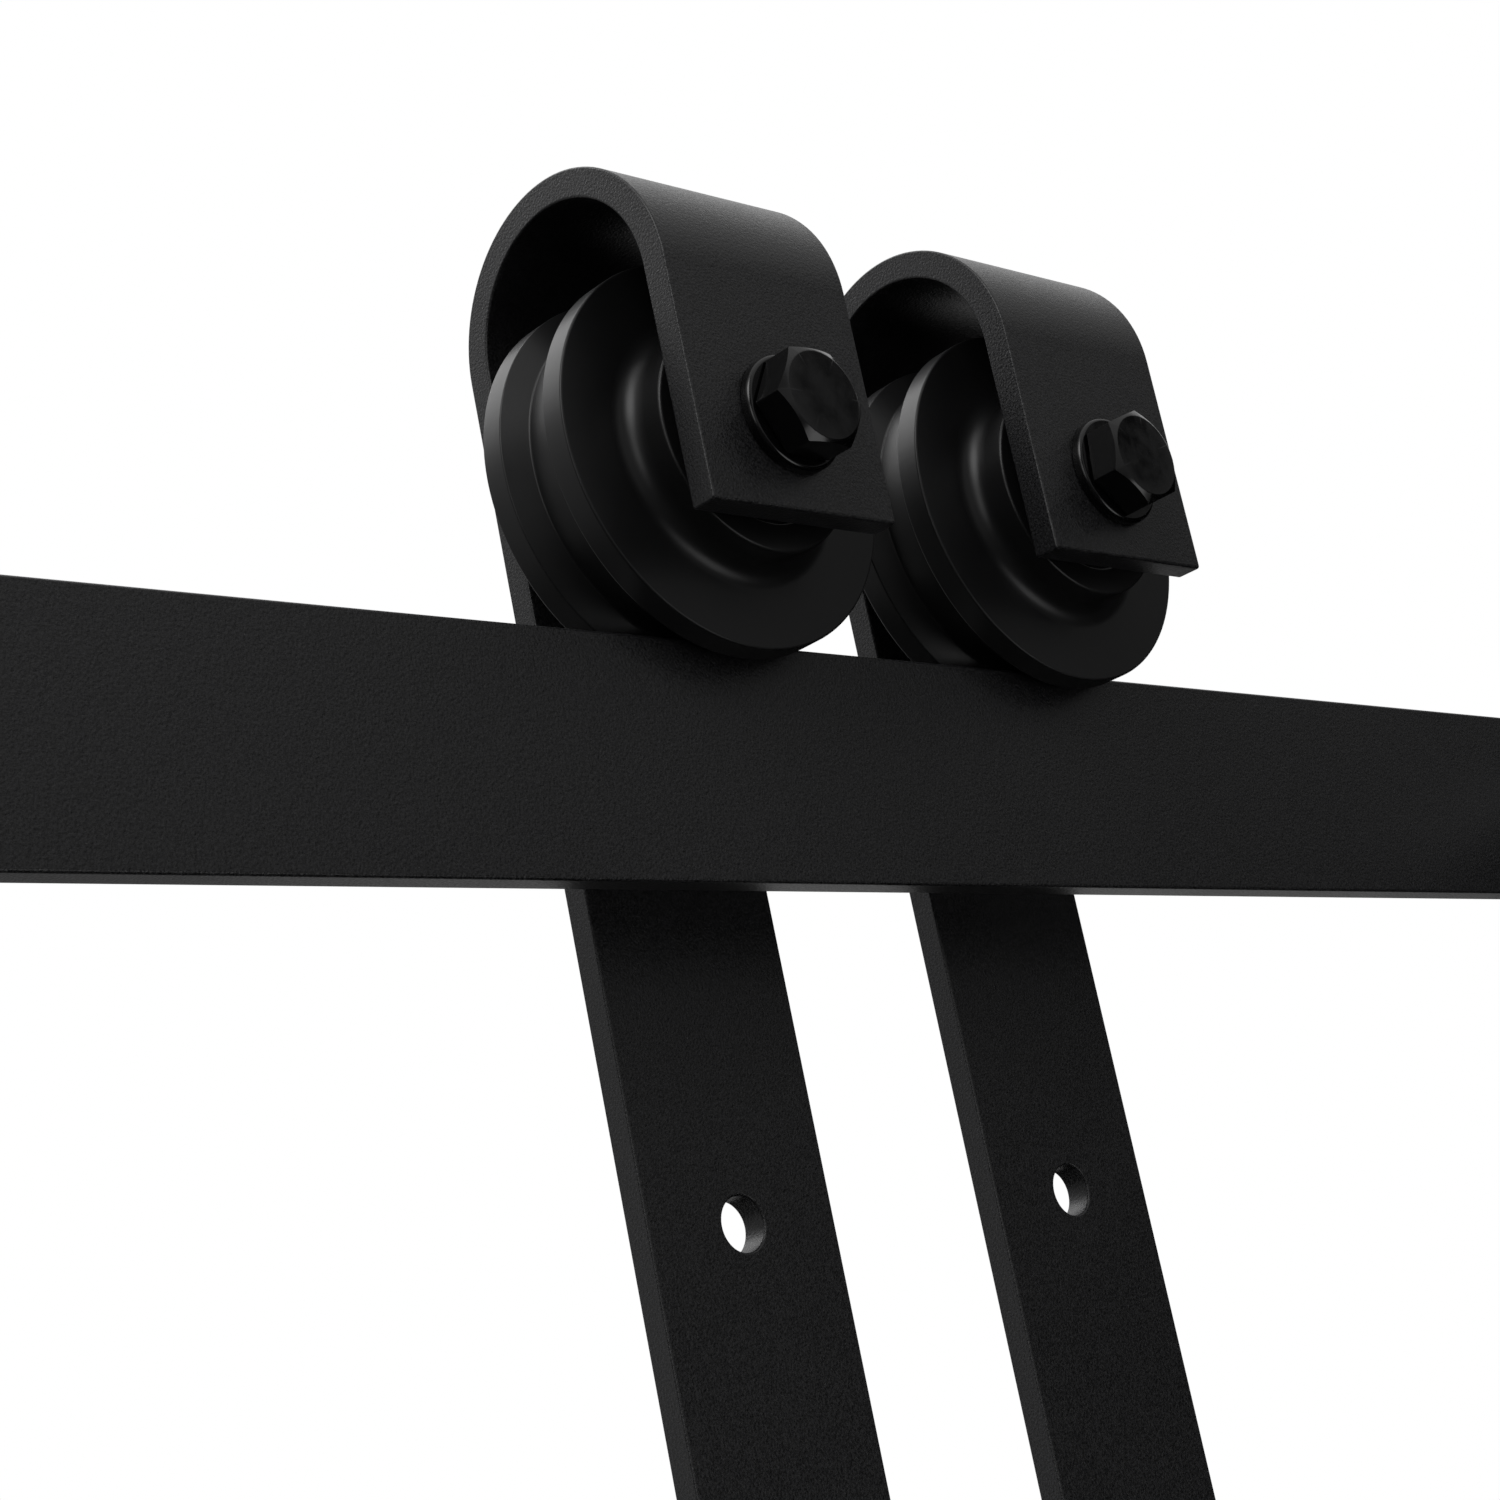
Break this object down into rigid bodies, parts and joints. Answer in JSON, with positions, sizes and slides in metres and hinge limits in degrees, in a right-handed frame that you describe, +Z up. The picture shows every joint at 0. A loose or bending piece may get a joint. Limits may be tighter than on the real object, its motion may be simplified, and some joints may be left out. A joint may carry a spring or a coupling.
{
  "type": "sliding barn door hardware",
  "caption": "Flat wall-mounted rail with bent strap hangers whose grooved wheels roll along its top edge, to hang a sliding door.",
  "frame": {"origin": "where the axis of the middle wall fixing meets the face of the wall", "axes": "+X along the rail, +Y from the wall into the room, +Z up"},
  "size_m": [1, 0.1235, 0.275],
  "materials": {
    "powder_coat": "fine-textured matt black powder coat on steel bar",
    "wheel_nylon": "satin black nylon, turned",
    "black_fastener": "glossy black plated fastener steel",
    "rubber": "matt moulded rubber",
    "insert_nylon": "natural nylon locking ring",
    "plated_steel": "zinc plated",
    "bearing_steel": "ground and polished"
  },
  "bodies": {
    "track": {"rail": "powder_coat", "left_spacer": "powder_coat", "middle_spacer": "powder_coat", "right_spacer": "powder_coat", "lag_bolts": "black_fastener", "lag_washers": "black_fastener", "left_stop_block": "powder_coat", "right_stop_block": "powder_coat", "left_stop_bumper": "rubber", "right_stop_bumper": "rubber", "stop_screws": "black_fastener"},
    "left_hanger": {"left_strap": "powder_coat", "left_axle_bolt": "black_fastener", "left_axle_washers": "black_fastener", "left_lock_nut": "black_fastener", "left_nut_insert": "insert_nylon", "left_bearing_sleeve": "plated_steel", "left_axle_collars": "plated_steel", "left_wall_inner_race": "bearing_steel", "left_room_inner_race": "bearing_steel"},
    "left_roller": {"left_wheel": "wheel_nylon", "left_wall_outer_race": "bearing_steel", "left_room_outer_race": "bearing_steel", "left_wall_shields": "plated_steel", "left_room_shields": "plated_steel"},
    "left_ball_cages": {"left_wall_balls": "bearing_steel", "left_wall_cage": "plated_steel", "left_room_balls": "bearing_steel", "left_room_cage": "plated_steel"},
    "right_hanger": {"right_strap": "powder_coat", "right_axle_bolt": "black_fastener", "right_axle_washers": "black_fastener", "right_lock_nut": "black_fastener", "right_nut_insert": "insert_nylon", "right_bearing_sleeve": "plated_steel", "right_axle_collars": "plated_steel", "right_wall_inner_race": "bearing_steel", "right_room_inner_race": "bearing_steel"},
    "right_roller": {"right_wheel": "wheel_nylon", "right_wall_outer_race": "bearing_steel", "right_room_outer_race": "bearing_steel", "right_wall_shields": "plated_steel", "right_room_shields": "plated_steel"},
    "right_ball_cages": {"right_wall_balls": "bearing_steel", "right_wall_cage": "plated_steel", "right_room_balls": "bearing_steel", "right_room_cage": "plated_steel"}
  },
  "joints": [
    {"name": "left_hanger_slide", "type": "slide", "parent": "track", "child": "left_hanger", "axis": [1, 0, 0], "range_m": [-0.615, 0.165]},
    {"name": "left_wheel_spin", "type": "hinge", "parent": "left_hanger", "child": "left_roller", "pos_m": [0.185, 0.0405, 0.04965], "axis": [0, 1, 0], "continuous": true},
    {"name": "left_ball_cages_spin", "type": "hinge", "parent": "left_hanger", "child": "left_ball_cages", "pos_m": [0.185, 0.0405, 0.04965], "axis": [0, 1, 0], "continuous": true},
    {"name": "right_hanger_slide", "type": "slide", "parent": "track", "child": "right_hanger", "axis": [1, 0, 0], "range_m": [-0.615, 0.165]},
    {"name": "right_wheel_spin", "type": "hinge", "parent": "right_hanger", "child": "right_roller", "pos_m": [0.265, 0.0405, 0.04965], "axis": [0, 1, 0], "continuous": true},
    {"name": "right_ball_cages_spin", "type": "hinge", "parent": "right_hanger", "child": "right_ball_cages", "pos_m": [0.265, 0.0405, 0.04965], "axis": [0, 1, 0], "continuous": true}
  ],
  "couplings": [
    {"joint": "right_hanger_slide", "follows": "left_hanger_slide", "ratio": 1},
    {"joint": "left_wheel_spin", "follows": "left_hanger_slide", "rad_per_m": 33.784},
    {"joint": "left_ball_cages_spin", "follows": "left_hanger_slide", "rad_per_m": 20.912},
    {"joint": "right_wheel_spin", "follows": "left_hanger_slide", "rad_per_m": 33.784},
    {"joint": "right_ball_cages_spin", "follows": "left_hanger_slide", "rad_per_m": 20.912}
  ]
}
